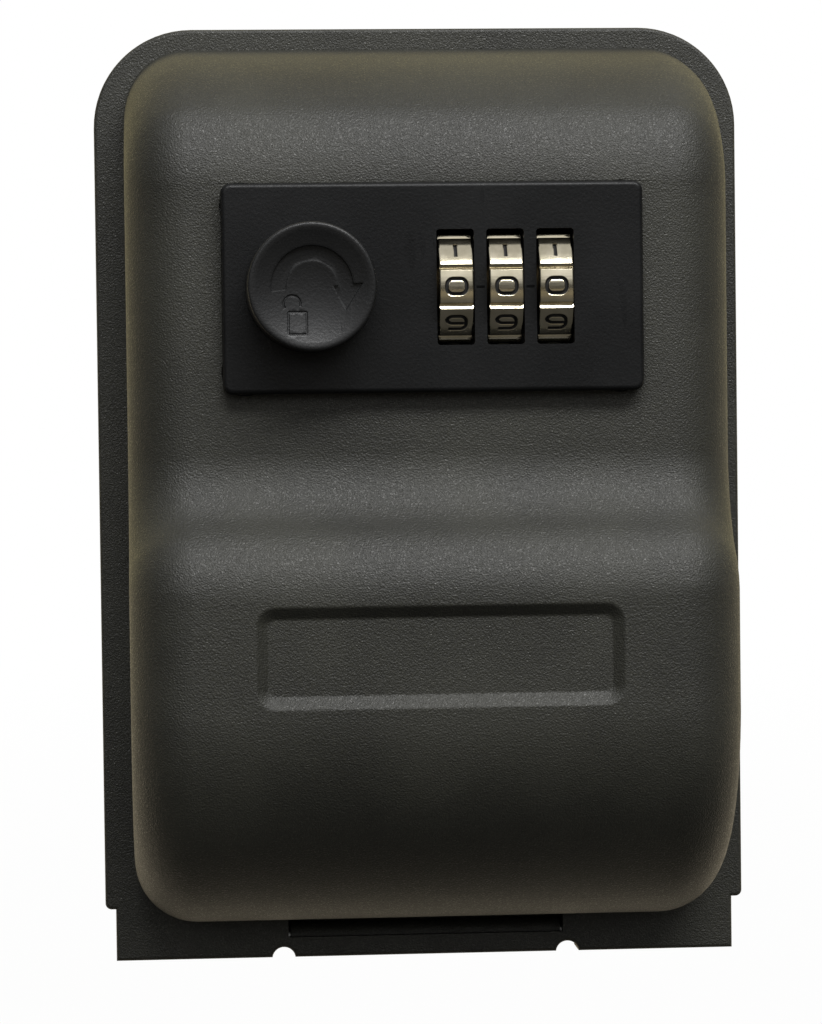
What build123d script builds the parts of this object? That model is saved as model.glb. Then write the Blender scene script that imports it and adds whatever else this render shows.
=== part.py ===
from build123d import *
import math
import os

# Wall key safe: a back housing, a domed door hinged at the bottom, and a three wheel lock in the door.
# Millimetres. X to the right, Z up, the wall is y = 0 and a depth is a distance in front of the wall.

# Back housing
base_width = 83.0
base_height = 120.0
base_depth = 5.5
base_corner = 12.6
base_edge_round = 0.5
back_wall = 2.0
tab_inset = 1.35
tab_height = 6.7
tab_step_round = 0.8
notch_spacing = 37.0
notch_radius = 1.5
notch_rise = 1.3

# Door shell
flange_side = 4.0
flange_top = 4.0
door_rise = 5.6
door_wall = 2.4
door_gap = 0.2
upper_face_depth = 29.5
belly_rise = 8.3
side_land = 15.8
crown_height = 17.4
crown_round = 12.0
crown_turn = 45.0
top_draft = 12.0
wave_run = 18.0
wave_drop = 7.2
belly_height = 29.0
rim_land = 2.0
label_width = 41.7
label_height = 9.4
label_rise = 6.6
label_recess = 1.0
label_slope = 55.0
label_corner = 0.9
label_edge_round = 0.7

# Collar of the housing that the door closes over
collar_gap = 0.6
collar_top_gap = 1.4
collar_wall = 1.6
collar_rise = 3.5
collar_lift = 4.9
collar_corner = 6.0

# Hinge at the bottom
hinge_rise = 2.5
hinge_pin_radius = 1.0
hinge_pin_length = 47.0
hinge_fit = 0.05
press_fit = 0.02
hinge_wall = 0.8
knuckle_length = 35.2
knuckle_side_gap = 0.3
knuckle_front_gap = 0.1
knuckle_back_gap = 0.3
hinge_arm = 1.2
hinge_bar_wall = 0.8
hinge_bar_rise = 0.1
pocket_gap = 0.15
hinge_arm_lap = 0.8
hinge_arm_root = 5.0
pin_chamfer = 0.2

# Wall fixing
wall_hole_radius = 2.5
wall_hole_spacing_x = 50.0
wall_hole_spacing_z = 80.0
wall_hole_centre = 1.0
wall_boss_wall = 3.5
wall_boss_rise = 1.2
wall_hole_sink = 2.1

# Lock panel on the door
panel_width = 51.5
panel_height = 25.6
panel_drop = 30.2
panel_thickness = 2.5
panel_corner = 1.2
panel_edge_round = 0.6
panel_post_radius = 2.5
panel_post_spacing_x = 46.0
panel_post_spacing_z = 20.2
post_clearance = 0.4
post_lap = 0.5
post_bore_depth = 1.2
screw_radius = 1.25
screw_head_radius = 2.4
screw_head_height = 1.4
screw_clearance = 0.15
screw_end_gap = 0.1
screw_lap = 0.6
screw_head_round = 0.5

# Number wheels on one shaft
wheel_count = 3
digits = 10
wheel_pitch = 6.1
first_wheel_x = 2.7
wheel_radius = 7.6
wheel_width = 4.1
wheel_proud = 1.8
wheel_groove = 0.56
wheel_space = 0.45
window_side_gap = 0.25
window_end_gap = 0.65
window_round = 0.4

# Code sleeves inside the wheels, and the toothed rod through them
sleeve_radius = 3.8
sleeve_left = -3.9
sleeve_end_gap = 0.05
sleeve_wall = 0.95
sleeve_fit = 0.08
web_centre = -0.85
web_thickness = 1.0
key_width = 0.8
key_height = 0.8
key_thickness = 1.3
key_fit = 0.15
key_end_gap = 0.2
gate_side_gap = 0.25
rod_radius = 1.5
rod_fit = 0.1
tooth_radial_gap = 0.25
tooth_width = 1.4
tooth_thickness = 1.0
tooth_gap = 0.3
reset_travel = 1.5

# Knob, its spindle and the crank that shifts the latch
knob_radius = 7.75
knob_height = 7.1
knob_gap = 0.3
knob_taper = 0.15
knob_dish = 0.9
knob_rim = 0.9
knob_edge_round = 0.5
spindle_radius = 2.5
spindle_fit = 0.08
spindle_socket = 4.5
crank_radius = 2.9
crank_wall = 0.5
crank_side_gap = 0.85
crank_disc_thickness = 1.5
crank_pin_radius = 1.0
crank_slot_gap = 0.16
crank_disc_gap = 0.3
crank_latch_gap = 0.4
crank_pin_lap = 0.4
knob_turn = 90.0
clip_radius = 3.9
clip_thickness = 0.6
clip_gap = 0.2
clip_groove = 0.4
clip_side_gap = 0.05
clip_clearance = 0.6
clip_mouth = 3.4

# Latch plate with keyholes, on two headed studs of the housing
latch_thickness = 1.2
latch_drop = 5.4
latch_margin = 0.95
latch_eye_margin = 0.7
latch_guide_gap = 0.2
latch_corner = 1.5
lug_width = 4.0
lug_eye_wall = 1.1
lug_gap = 0.3
lug_root = 2.4
lug_root_gap = 0.2
stud_spacing = 18.0
stud_rise = 11.7
stud_neck_radius = 1.8
stud_head_radius = 3.2
stud_head_height = 1.5
stud_head_gap = 0.3
stud_collar_radius = 3.0
stud_collar_height = 1.0
stud_crown_radius = 1.9
stud_crown_height = 0.6
stud_boss_wall = 2.7
stud_boss_rise = 5.0
stud_boss_hole = 1.0
keyhole_gap = 0.9
keyhole_slot_gap = 0.4
keyhole_rise = 1.2

# Lock frame behind the door's face, and the plate that closes it
frame_post_margin = 3.0
frame_low_margin = 3.4
frame_wall = 1.8
frame_corner = 2.5
frame_back_gap = 1.8
deck_thickness = 1.5
cheek_thickness = 1.5
cheek_gap = 0.3
cheek_relief = 0.2
rib_side_gap = 0.35
rib_gap = 0.3
rib_root = 1.0
bush_length = 6.0
bush_wall = 1.7
inner_plate_thickness = 1.2
frame_front_gap = 0.1
frame_post_wall = 0.3
ledge_height = 1.4
rod_way_gap = 0.4

# Reset slide
yoke_thickness = 1.0
yoke_wheel_gap = 0.3
yoke_latch_gap = 0.7
yoke_half_height = 4.4
yoke_trim = 0.4
fork_thickness = 1.15
fork_gap = 0.05
fork_reach = 2.0
thumb_tab_width = 3.0
thumb_tab_height = 3.6
thumb_tab_x = 4.5
thumb_tab_proud = 1.8
thumb_tab_corner = 0.5
slot_gap = 0.3

# Detent spring comb
spring_thickness = 0.35
spring_finger_width = 2.8
spring_band = 2.8
spring_top_gap = 0.5
spring_gap = 0.12
spring_screw_radius = 0.9
spring_screw_head = 1.7
spring_screw_head_height = 1.0
spring_hole_gap = 0.1

# Key hook
hook_width = 22.0
hook_arm_width = 4.0
hook_arm_spacing = 15.0
hook_plate_bottom = -1.0
hook_plate_height = 11.0
hook_thickness = 1.2
hook_reach = 8.0
hook_lip = 4.5
hook_screw_radius = 1.5
hook_screw_head = 2.9
hook_screw_rise = 7.7
hook_screw_round = 0.6
hook_corner = 1.5
hook_arm_rise = 1.5
hook_bend = 1.6

# How far a cut runs past the face that it opens, and how far a joined piece runs into another
overcut = 1.0
overlap = 0.3

# Heights and widths of the housing, door and collar
base_top = base_height / 2
base_bottom = -base_height / 2
tab_width = base_width - 2 * tab_inset
tab_step_height = base_bottom + tab_height
door_width = base_width - 2 * flange_side
door_top = base_top - flange_top
door_bottom = base_bottom + door_rise
rim_depth = base_depth + door_gap
inner_face = upper_face_depth - door_wall
bulge_depth = upper_face_depth + belly_rise
side_round = upper_face_depth - rim_depth - side_land
collar_width = door_width - 2 * door_wall - 2 * collar_gap
collar_top = door_top - door_wall - collar_top_gap
collar_bottom = door_bottom + collar_lift
panel_centre = door_top - panel_drop
wave_top = panel_centre - panel_height / 2 - wave_drop
wave_bottom = wave_top - wave_run
belly_top = door_bottom + belly_height
label_centre = belly_top + label_rise
lock_height = panel_centre

# Hinge
knuckle_radius = hinge_pin_radius + hinge_wall
hinge_height = base_bottom + hinge_rise
hinge_depth = base_depth - hinge_bar_wall - knuckle_front_gap - knuckle_radius
hinge_bar_top = hinge_height + hinge_bar_rise
pocket_back = hinge_depth - knuckle_radius - knuckle_back_gap
pocket_low = hinge_height - knuckle_radius - pocket_gap

# Depths through the lock, from the panel's face back to the closing plate
panel_face = upper_face_depth + panel_thickness
wheel_depth = panel_face + wheel_proud - wheel_radius
yoke_depth = wheel_depth - wheel_radius - yoke_wheel_gap - yoke_thickness
latch_depth = yoke_depth - yoke_latch_gap - latch_thickness
crank_disc_back = latch_depth + latch_thickness + crank_latch_gap
crank_disc_front = crank_disc_back + crank_disc_thickness
deck_depth = crank_disc_front + crank_disc_gap
deck_front = deck_depth + deck_thickness
frame_back = latch_depth - frame_back_gap
inner_plate_depth = frame_back - inner_plate_thickness
thumb_tab_back = inner_plate_depth - thumb_tab_proud
frame_front = inner_face - frame_front_gap
knob_back = panel_face + knob_gap
knob_front = knob_back + knob_height

# Places along the wheels' shaft
sleeve_pocket_radius = sleeve_radius - sleeve_wall
sleeve_length = wheel_pitch - sleeve_end_gap
key_radius = sleeve_radius + key_height
key_left = -wheel_width / 2
key_turn_room = reset_travel + key_width + key_end_gap
tooth_radius = sleeve_pocket_radius - tooth_radial_gap
latch_travel = 2 * crank_radius * math.sin(math.radians(knob_turn / 2))
rod_rest = web_centre - web_thickness / 2 - tooth_gap - tooth_thickness / 2
wheel_xs = [first_wheel_x + wheel_pitch * n for n in range(wheel_count)]
rib_xs = [x + wheel_pitch / 2 for x in wheel_xs[:-1]]
rib_thickness = wheel_pitch - wheel_width - 2 * rib_side_gap
stack_left = wheel_xs[0] + sleeve_left
stack_right = wheel_xs[-1] + sleeve_left + sleeve_length
left_fork_x = stack_left - fork_gap - fork_thickness
right_fork_x = stack_right + fork_gap
left_cheek_x = left_fork_x - cheek_gap - cheek_thickness
right_cheek_x = right_fork_x + fork_thickness + reset_travel + cheek_gap
lug_right = left_cheek_x - latch_travel - lug_gap
lug_left = lug_right - latch_thickness
lug_eye_radius = rod_radius + lug_eye_wall
rod_right = right_cheek_x + cheek_thickness + cheek_gap
crank_disc_radius = crank_radius + crank_pin_radius + crank_wall
knob_x = lug_left - crank_side_gap - crank_disc_radius
pin_drop = crank_radius * math.cos(math.radians(knob_turn / 2))
pin_shift = crank_radius * math.sin(math.radians(knob_turn / 2))

# Windows of the wheels and the opening in the door behind them
window_width = wheel_width + 2 * window_side_gap
panel_relief = wheel_depth + sleeve_radius + slot_gap - upper_face_depth
window_reach = math.sqrt(wheel_radius**2 - (upper_face_depth + panel_relief - wheel_depth) ** 2)
window_height = 2 * (window_reach + window_end_gap)
wheel_opening_left = wheel_xs[0] - wheel_width / 2 - wheel_space
wheel_opening_right = wheel_xs[-1] + wheel_width / 2 + wheel_space
wheel_opening_width = wheel_opening_right - wheel_opening_left
wheel_opening_centre = (wheel_opening_left + wheel_opening_right) / 2
wheel_opening_height = 2 * (wheel_radius + wheel_space)

# Latch plate, studs and frame
stud_height = lock_height + stud_rise
stud_xs = [-stud_spacing / 2, stud_spacing / 2]
stud_boss_radius = stud_neck_radius + stud_boss_wall
keyhole_radius = stud_head_radius + keyhole_gap
slot_half = crank_pin_radius + crank_slot_gap
latch_left = knob_x - pin_shift - slot_half - latch_margin
latch_right = stud_xs[-1] + keyhole_radius + latch_margin + slot_half
latch_top = stud_height + keyhole_radius + latch_eye_margin
latch_bottom = lock_height - latch_drop
frame_width = panel_post_spacing_x + 2 * frame_post_margin
frame_right = frame_width / 2
frame_top = latch_top + latch_guide_gap + frame_wall
frame_bottom = panel_centre - panel_post_spacing_z / 2 - frame_low_margin
frame_height = frame_top - frame_bottom
frame_centre = (frame_top + frame_bottom) / 2
spring_root_height = frame_top - frame_wall - spring_top_gap - spring_band / 2

# Screw places
post_xs = [-panel_post_spacing_x / 2, panel_post_spacing_x / 2]
post_zs = [panel_centre - panel_post_spacing_z / 2, panel_centre + panel_post_spacing_z / 2]
post_points = [(x, z) for z in post_zs for x in post_xs]
wall_xs = [-wall_hole_spacing_x / 2, wall_hole_spacing_x / 2]
wall_zs = [wall_hole_centre - wall_hole_spacing_z / 2, wall_hole_centre + wall_hole_spacing_z / 2]
wall_points = [(x, z) for z in wall_zs for x in wall_xs]
wall_boss_radius = wall_hole_radius + wall_boss_wall

os.makedirs("parts", exist_ok=True)


def front(depth):
    """Plane that faces the viewer at a depth: local x is X, local y is Z."""
    return Plane.XZ.offset(depth)


def across(x):
    """Plane square to the wheel shaft at x: local x is Y, local y is Z."""
    return Plane.YZ.offset(x)


def finish(piece, name):
    """Label a finished piece and write its file."""
    piece.part.label = name
    export_step(piece.part, f"parts/{name}.step")


def door_outline(inset, rim):
    """Side outline of the door, moved in by inset and closed at the rim."""
    wave_radius = (wave_run**2 + belly_rise**2) / (4 * belly_rise)
    wave_turn = math.degrees(2 * math.atan2(belly_rise, wave_run))
    # The crown turns back in two arcs, the second one flatter, and ends in a drafted line
    turn = math.radians(crown_turn)
    draft = math.radians(top_draft)
    flat_turn = 90 - top_draft - crown_turn
    crown_start = door_top - crown_height
    arc_depth = upper_face_depth - crown_round * (1 - math.cos(turn))
    drop = crown_height - crown_round * math.sin(turn) - (arc_depth - rim_depth) * math.tan(draft)
    lean = math.cos(draft) - math.sin(turn) - (math.cos(turn) - math.sin(draft)) * math.tan(draft)
    flat_round = drop / lean
    crown_centre = (crown_round - upper_face_depth, crown_start)
    flat_centre = (
        crown_centre[0] + (flat_round - crown_round) * math.cos(turn),
        crown_centre[1] - (flat_round - crown_round) * math.sin(turn),
    )
    with BuildSketch(Plane.YZ) as outline:
        with BuildLine():
            flatter = CenterArc(flat_centre, flat_round - inset, 90 + top_draft, flat_turn)
            CenterArc(crown_centre, crown_round - inset, 180 - crown_turn, crown_turn)
            top_run = flatter @ 0
            top_end = top_run.Y - (top_run.X + rim) * math.tan(draft)
            Line((-rim, top_end), top_run)
            upper = Line((-(upper_face_depth - inset), crown_start), (-(upper_face_depth - inset), wave_top))
            foot = JernArc(upper @ 1, (0, -1), wave_radius + inset, -wave_turn)
            crest = JernArc(foot @ 1, foot % 1, wave_radius - inset, wave_turn)
            Line(crest @ 1, (-(bulge_depth - inset), belly_top))
            EllipticalCenterArc(
                (-(rim_depth + rim_land), belly_top),
                bulge_depth - rim_depth - rim_land - inset,
                belly_top - door_bottom - inset,
                start_angle=180,
                arc_size=90,
            )
            Polyline(
                (-(rim_depth + rim_land), door_bottom + inset),
                (-rim, door_bottom + inset),
                (-rim, top_end),
            )
        make_face()
    return outline.sketch


def door_form(inset, rim):
    """Solid form of the door with its side edges rounded, moved in by inset."""
    with BuildPart() as form:
        extrude(door_outline(inset, rim), amount=door_width / 2 - inset, both=True)
        side_edges = form.faces().filter_by(Axis.X).edges()
        fillet(side_edges - side_edges.group_by(Axis.Y)[-1], side_round - inset)
    return form.part


# Back housing: tray with a flange, a tab with the hinge pocket, bosses and a collar
with BuildSketch(Plane.XZ) as base_outline:
    with BuildLine():
        FilletPolyline(
            (-base_width / 2, tab_step_height),
            (-base_width / 2, base_top),
            (base_width / 2, base_top),
            (base_width / 2, tab_step_height),
            radius=base_corner,
        )
        Line((base_width / 2, tab_step_height), (-base_width / 2, tab_step_height))
    make_face()
    fillet(base_outline.vertices().group_by(Axis.Y)[0], tab_step_round)
    with Locations((0, (tab_step_height + base_bottom) / 2 + tab_step_round)):
        Rectangle(tab_width, tab_step_height - base_bottom + 2 * tab_step_round)
    with Locations((-notch_spacing / 2, base_bottom), (notch_spacing / 2, base_bottom)):
        with Locations((0, notch_rise - notch_radius)):
            Circle(notch_radius, mode=Mode.SUBTRACT)

with BuildPart() as base_housing:
    extrude(base_outline.sketch, amount=base_depth)
    fillet(base_housing.faces().sort_by(Axis.Y)[0].outer_wire().edges(), base_edge_round)
    # Collar that the door closes over, and the well inside it
    with BuildSketch(front(base_depth)):
        with Locations((0, (collar_top + collar_bottom) / 2)):
            RectangleRounded(collar_width, collar_top - collar_bottom, collar_corner)
    extrude(amount=collar_rise)
    with BuildSketch(front(back_wall)):
        with Locations((0, (collar_top + collar_bottom) / 2)):
            RectangleRounded(
                collar_width - 2 * collar_wall,
                collar_top - collar_bottom - 2 * collar_wall,
                collar_corner - collar_wall,
            )
    extrude(amount=base_depth + collar_rise, mode=Mode.SUBTRACT)
    # Hinge pocket behind a low bar, open to the well
    pocket_half = knuckle_length / 2 + knuckle_side_gap
    with BuildSketch(Plane.YZ) as pocket:
        with BuildLine():
            Polyline(
                (-pocket_back, pocket_low),
                (-(base_depth - hinge_bar_wall), pocket_low),
                (-(base_depth - hinge_bar_wall), hinge_bar_top),
                (-(base_depth + collar_rise + overcut), hinge_bar_top),
                (-(base_depth + collar_rise + overcut), collar_bottom + 2 * collar_wall),
                (-back_wall, collar_bottom + 2 * collar_wall),
                (-back_wall, collar_bottom),
                (-pocket_back, collar_bottom),
                close=True,
            )
        make_face()
    extrude(amount=pocket_half, both=True, mode=Mode.SUBTRACT)
    # Bore for the hinge pin, drilled in from the right
    with BuildSketch(across(-hinge_pin_length / 2)):
        with Locations((-hinge_depth, hinge_height)):
            Circle(hinge_pin_radius + press_fit)
    extrude(amount=hinge_pin_length / 2 + tab_width / 2 + overcut, mode=Mode.SUBTRACT)
    # Bosses round the wall holes, the stud bosses and the hook boss
    with BuildSketch(front(back_wall)):
        with Locations(*wall_points):
            Circle(wall_boss_radius)
    extrude(amount=wall_boss_rise)
    with BuildSketch(front(back_wall)):
        with Locations(*[(x, stud_height) for x in stud_xs]):
            Circle(stud_boss_radius)
    extrude(amount=stud_boss_rise)
    with BuildSketch(front(stud_boss_hole)):
        with Locations(*[(x, stud_height) for x in stud_xs]):
            Circle(stud_neck_radius + press_fit)
    extrude(amount=back_wall + stud_boss_rise, mode=Mode.SUBTRACT)
    # Countersunk wall holes
    with BuildSketch(Plane.XZ):
        with Locations(*wall_points):
            Circle(wall_hole_radius)
    extrude(amount=back_wall + wall_boss_rise, mode=Mode.SUBTRACT)
    with BuildSketch(front(back_wall + wall_boss_rise)):
        with Locations(*wall_points):
            Circle(wall_hole_radius + wall_hole_sink)
    extrude(amount=-wall_hole_sink, taper=45, mode=Mode.SUBTRACT)
    # Hole for the hook's screw
    hook_screw_height = hook_plate_bottom + hook_screw_rise
    with BuildSketch(front(pocket_back)):
        with Locations((0, hook_screw_height)):
            Circle(hook_screw_radius + press_fit)
    extrude(amount=back_wall, mode=Mode.SUBTRACT)
finish(base_housing, "base_housing")

# Door shell: wave across the face, blank label recess, openings for the lock, hinge arm at the bottom
door_body = door_form(0, rim_depth)
door_hollow = door_form(door_wall, rim_depth - overcut)
knuckle_centre = (-hinge_depth, hinge_height)
arm_top = door_bottom + door_wall + hinge_arm_lap
arm_root_depth = rim_depth + hinge_arm_root
arm_back = hinge_depth - knuckle_radius

with BuildPart() as door_cover:
    add(door_body)
    add(door_hollow, mode=Mode.SUBTRACT)
    # Blank recess for a label, with sloped sides
    with BuildSketch(front(bulge_depth - label_recess)):
        with Locations((0, label_centre)):
            RectangleRounded(label_width, label_height, label_corner)
    extrude(amount=label_recess + overcut, taper=-label_slope, mode=Mode.SUBTRACT)
    label_edges = door_cover.edges(Select.LAST).group_by(Axis.Y)
    fillet(label_edges[0] + label_edges[-1], label_edge_round)
    # Opening for the wheels, hole for the knob's bush, holes for the posts, blind way for the rod's end
    with BuildSketch(front(inner_face - overcut)):
        with Locations((wheel_opening_centre, lock_height)):
            Rectangle(wheel_opening_width, wheel_opening_height)
        with Locations(((knob_x + right_cheek_x + cheek_thickness + slot_gap) / 2, lock_height)):
            Rectangle(right_cheek_x + cheek_thickness + slot_gap - knob_x, 2 * yoke_half_height)
        with Locations((knob_x, lock_height)):
            Circle(clip_radius + clip_clearance)
        with Locations(*post_points):
            Circle(panel_post_radius + post_clearance)
    extrude(amount=door_wall + 2 * overcut, mode=Mode.SUBTRACT)
    with BuildSketch(front(inner_face - overcut)):
        with Locations(((right_cheek_x + rod_right + latch_travel + slot_gap) / 2, lock_height)):
            Rectangle(rod_right + latch_travel + slot_gap - right_cheek_x, 2 * (rod_radius + slot_gap))
    extrude(amount=wheel_depth + rod_radius + slot_gap - inner_face + overcut, mode=Mode.SUBTRACT)
    # Hinge arm, bent back round the housing's bar to the knuckle
    with BuildSketch(Plane.YZ) as arm:
        with Locations(knuckle_centre):
            Circle(knuckle_radius)
        with BuildLine():
            Polyline(
                (-arm_back, hinge_height),
                (-arm_back, arm_top),
                (-arm_root_depth, arm_top),
                (-arm_root_depth, arm_top - hinge_arm),
                (-(arm_back + hinge_arm), arm_top - hinge_arm),
                (-(arm_back + hinge_arm), hinge_height),
                close=True,
            )
        make_face()
        with Locations(knuckle_centre):
            Circle(hinge_pin_radius + hinge_fit, mode=Mode.SUBTRACT)
    extrude(arm.sketch, amount=knuckle_length / 2, both=True)
finish(door_cover, "door_cover")

# Hinge pin, driven into the housing
with BuildPart() as hinge_pin:
    with BuildSketch(across(-hinge_pin_length / 2)):
        with Locations(knuckle_centre):
            Circle(hinge_pin_radius)
    extrude(amount=hinge_pin_length)
    chamfer(hinge_pin.edges().filter_by(GeomType.CIRCLE), pin_chamfer)
finish(hinge_pin, "hinge_pin")

# Headed studs in the housing, one node
with BuildPart() as keeper_studs:
    shank_bottom = stud_boss_hole + screw_end_gap
    head_depth = latch_depth + latch_thickness + stud_head_gap
    shoulder_depth = back_wall + stud_boss_rise
    for x in stud_xs:
        with BuildSketch(Plane.XY.offset(stud_height)):
            with BuildLine():
                Polyline(
                    (x, -shank_bottom),
                    (x + stud_neck_radius, -shank_bottom),
                    (x + stud_neck_radius, -shoulder_depth),
                    (x + stud_collar_radius, -shoulder_depth),
                    (x + stud_collar_radius, -(shoulder_depth + stud_collar_height)),
                    (x + stud_neck_radius, -(shoulder_depth + stud_collar_height)),
                    (x + stud_neck_radius, -head_depth),
                    (x + stud_head_radius, -head_depth),
                    (x + stud_head_radius, -(head_depth + stud_head_height - stud_crown_height)),
                    (x + stud_crown_radius, -(head_depth + stud_head_height)),
                    (x, -(head_depth + stud_head_height)),
                    close=True,
                )
            make_face()
        revolve(axis=Axis((x, 0, stud_height), (0, 1, 0)))
finish(keeper_studs, "keeper_studs")

# Key hook bracket: a plate with two upturned arms, and its screw
hook_arm_height = hook_plate_bottom + hook_arm_rise
with BuildPart() as key_hook:
    with BuildSketch(front(back_wall)):
        with Locations((0, hook_plate_bottom + hook_plate_height / 2)):
            RectangleRounded(hook_width, hook_plate_height, hook_corner)
        with Locations((0, hook_screw_height)):
            Circle(hook_screw_radius + screw_clearance, mode=Mode.SUBTRACT)
    extrude(amount=hook_thickness)
    with BuildSketch(Plane.YZ) as hook_arm:
        with BuildLine() as hook_line:
            hook_path = FilletPolyline(
                (-(back_wall + hook_thickness / 2), hook_arm_height),
                (-(back_wall + hook_reach), hook_arm_height),
                (-(back_wall + hook_reach), hook_arm_height + hook_lip),
                radius=hook_bend,
            )
        trace(hook_line.line, hook_thickness)
    for x in (-hook_arm_spacing / 2, hook_arm_spacing / 2):
        extrude(hook_arm.sketch.moved(Location((x, 0, 0))), amount=hook_arm_width / 2, both=True)
finish(key_hook, "key_hook")

with BuildPart() as key_hook_screw:
    with BuildSketch(front(pocket_back + screw_end_gap)):
        with Locations((0, hook_screw_height)):
            Circle(hook_screw_radius)
    extrude(amount=back_wall + hook_thickness - pocket_back - screw_end_gap)
    with BuildSketch(front(back_wall + hook_thickness)):
        with Locations((0, hook_screw_height)):
            Circle(hook_screw_head)
    extrude(amount=screw_head_height)
    fillet(key_hook_screw.faces().sort_by(Axis.Y)[0].edges(), hook_screw_round)
finish(key_hook_screw, "key_hook_screw")

# Lock panel on the door's face, with posts that the lock screws pull on
with BuildPart() as lock_panel:
    with BuildSketch(front(upper_face_depth)):
        with Locations((0, panel_centre)):
            RectangleRounded(panel_width, panel_height, panel_corner)
    extrude(amount=panel_thickness)
    fillet(lock_panel.faces().sort_by(Axis.Y)[0].edges(), panel_edge_round)
    with BuildSketch(front(frame_front)):
        with Locations(*post_points):
            Circle(panel_post_radius)
    extrude(amount=upper_face_depth - frame_front + post_lap)
    with BuildSketch(front(frame_front)):
        with Locations(*post_points):
            Circle(screw_radius + press_fit)
    extrude(amount=upper_face_depth - frame_front + post_bore_depth, mode=Mode.SUBTRACT)
    # Relief behind the wheels, then the windows and the hole for the spindle
    with BuildSketch(front(upper_face_depth)):
        with Locations((wheel_opening_centre, lock_height)):
            Rectangle(wheel_opening_width, wheel_opening_height)
        with Locations(((stack_left + stack_right + reset_travel) / 2, lock_height)):
            Rectangle(
                stack_right - stack_left + reset_travel + 2 * slot_gap, 2 * (sleeve_radius + slot_gap)
            )
    extrude(amount=panel_relief, mode=Mode.SUBTRACT)
    with BuildSketch(front(upper_face_depth)):
        with Locations(*[(x, lock_height) for x in wheel_xs]):
            RectangleRounded(window_width, window_height, window_round)
        with Locations((knob_x, lock_height)):
            Circle(spindle_radius + 2 * spindle_fit)
    extrude(amount=panel_thickness, mode=Mode.SUBTRACT)
finish(lock_panel, "lock_panel")

# Number wheels: ten V grooves between the ten places for numbers, ten key notches inside
for number, wheel_x in enumerate(wheel_xs, start=1):
    with BuildPart() as number_wheel:
        with BuildSketch(across(wheel_x - wheel_width / 2)):
            with Locations((-wheel_depth, lock_height)):
                Circle(wheel_radius)
                with PolarLocations(wheel_radius, digits, start_angle=180 / digits):
                    Rectangle(wheel_groove, wheel_groove, rotation=45, mode=Mode.SUBTRACT)
        extrude(amount=wheel_width)
        with BuildSketch(across(wheel_x - wheel_width / 2)):
            with Locations((-wheel_depth, lock_height)):
                Circle(sleeve_radius + sleeve_fit)
                with PolarLocations((sleeve_radius + key_radius) / 2, digits):
                    Rectangle(
                        key_radius - sleeve_radius + 2 * (key_fit + overlap),
                        key_thickness + 2 * key_fit,
                    )
        extrude(amount=key_width, mode=Mode.SUBTRACT)
        with BuildSketch(across(wheel_x - wheel_width / 2 + key_width)):
            with Locations((-wheel_depth, lock_height)):
                Circle(key_radius + key_fit)
        extrude(amount=key_turn_room, mode=Mode.SUBTRACT)
        with BuildSketch(across(wheel_x)):
            with Locations((-wheel_depth, lock_height)):
                Circle(sleeve_radius + sleeve_fit)
        extrude(amount=wheel_width, mode=Mode.SUBTRACT)
    finish(number_wheel, f"number_wheel_{number}")

# Code sleeves: a tube with one key outside and a gated web inside
for number, wheel_x in enumerate(wheel_xs, start=1):
    with BuildPart() as code_sleeve:
        with BuildSketch(across(wheel_x + sleeve_left)):
            with Locations((-wheel_depth, lock_height)):
                Circle(sleeve_radius)
                Circle(sleeve_pocket_radius, mode=Mode.SUBTRACT)
        extrude(amount=sleeve_length)
        with BuildSketch(across(wheel_x + web_centre - web_thickness / 2)):
            with Locations((-wheel_depth, lock_height)):
                Circle(sleeve_pocket_radius + overlap)
                Circle(rod_radius + rod_fit, mode=Mode.SUBTRACT)
                with Locations((-(tooth_radius + gate_side_gap) / 2, 0)):
                    Rectangle(
                        tooth_radius + gate_side_gap,
                        tooth_width + 2 * gate_side_gap,
                        mode=Mode.SUBTRACT,
                    )
        extrude(amount=web_thickness)
        with BuildSketch(across(wheel_x + key_left)):
            with Locations((-wheel_depth + (sleeve_radius + key_radius - overlap) / 2, lock_height)):
                Rectangle(key_radius - sleeve_radius + overlap, key_thickness)
        extrude(amount=key_width)
    finish(code_sleeve, f"code_sleeve_{number}")

# Gate rod: the wheels' shaft with three teeth, fixed in the latch plate's lug
with BuildPart() as gate_rod:
    with BuildSketch(across(lug_left)):
        with Locations((-wheel_depth, lock_height)):
            Circle(rod_radius)
    extrude(amount=rod_right - lug_left)
    for wheel_x in wheel_xs:
        with BuildSketch(across(wheel_x + rod_rest - tooth_thickness / 2)):
            with Locations((-wheel_depth - tooth_radius / 2, lock_height)):
                Rectangle(tooth_radius, tooth_width)
        extrude(amount=tooth_thickness)
finish(gate_rod, "gate_rod")

# Latch plate: slot for the crank pin, two keyholes, room for the thumb tab, lug for the rod
slot_low = lock_height - crank_radius - slot_half
slot_high = lock_height - pin_drop + slot_half
tab_low = thumb_tab_x - thumb_tab_width / 2
tab_high = thumb_tab_x + thumb_tab_width / 2

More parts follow.
